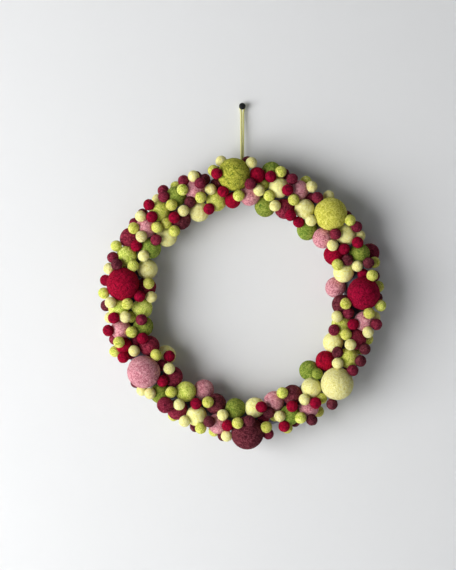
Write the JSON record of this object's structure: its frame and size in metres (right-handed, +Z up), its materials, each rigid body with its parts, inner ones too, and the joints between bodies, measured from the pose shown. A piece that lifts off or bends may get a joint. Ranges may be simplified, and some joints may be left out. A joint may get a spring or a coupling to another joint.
{
  "type": "felt ball wreath with wall nail",
  "caption": "Round wreath of wool felt balls in four sizes glued over a flat-backed ring, hung from a wall nail by a loop of cord.",
  "frame": {"origin": "centre of the nail's foot, on the wall plane", "axes": "+Y into the wall, the front facing -Y; +Z up, with the wreath hanging plumb below the nail; +X to the right as seen from the front"},
  "size_m": [0.373, 0.0736, 0.4539],
  "materials": {
    "felt_cream": "matte wool felt",
    "felt_yellow": "matte wool felt",
    "felt_lime": "matte wool felt",
    "felt_olive": "matte wool felt",
    "felt_moss": "matte wool felt",
    "felt_pink": "matte wool felt",
    "felt_red": "matte wool felt",
    "felt_wine": "matte wool felt",
    "felt_plum": "matte wool felt",
    "ring_wrap": "matte dark wrapping",
    "cord": "plain cord",
    "nail": "satin black"
  },
  "bodies": {
    "root": {"hanging_cord": "cord", "large_cream_131": "felt_cream", "large_olive_356": "felt_olive", "large_pink_235": "felt_pink", "large_plum_178": "felt_plum", "large_red_279": "felt_red", "large_red_86": "felt_red", "large_yellow_45": "felt_yellow", "medium_cream_114": "felt_cream", "medium_cream_142": "felt_cream", "medium_cream_174": "felt_cream", "medium_cream_18": "felt_cream", "medium_cream_203": "felt_cream", "medium_cream_235": "felt_cream", "medium_cream_289": "felt_cream", "medium_cream_311": "felt_cream", "medium_cream_334": "felt_cream", "medium_cream_34": "felt_cream", "medium_cream_57": "felt_cream", "medium_cream_74": "felt_cream", "medium_lime_103": "felt_lime", "medium_lime_117": "felt_lime", "medium_lime_213": "felt_lime", "medium_lime_292": "felt_lime", "medium_lime_318": "felt_lime", "medium_lime_346": "felt_lime", "medium_moss_13": "felt_moss", "medium_moss_135": "felt_moss", "medium_moss_157": "felt_moss", "medium_moss_183": "felt_moss", "medium_moss_222": "felt_moss", "medium_moss_255": "felt_moss", "medium_moss_301": "felt_moss", "medium_moss_329": "felt_moss", "medium_moss_68": "felt_moss", "medium_pink_101": "felt_pink", "medium_pink_148": "felt_pink", "medium_pink_163": "felt_pink", "medium_pink_192": "felt_pink", "medium_pink_205": "felt_pink", "medium_pink_257": "felt_pink", "medium_pink_26": "felt_pink", "medium_pink_307": "felt_pink", "medium_pink_336": "felt_pink", "medium_pink_4": "felt_pink", "medium_pink_52": "felt_pink", "medium_pink_82": "felt_pink", "medium_plum_152": "felt_plum", "medium_plum_194": "felt_plum", "medium_plum_324": "felt_plum", "medium_plum_93": "felt_plum", "medium_red_125": "felt_red", "medium_red_62": "felt_red", "medium_wine_108": "felt_wine", "medium_wine_211": "felt_wine", "medium_wine_222": "felt_wine", "medium_wine_246": "felt_wine", "medium_wine_25": "felt_wine", "ring_core": "ring_wrap", "wall_nail": "nail"}
  },
  "joints": []
}
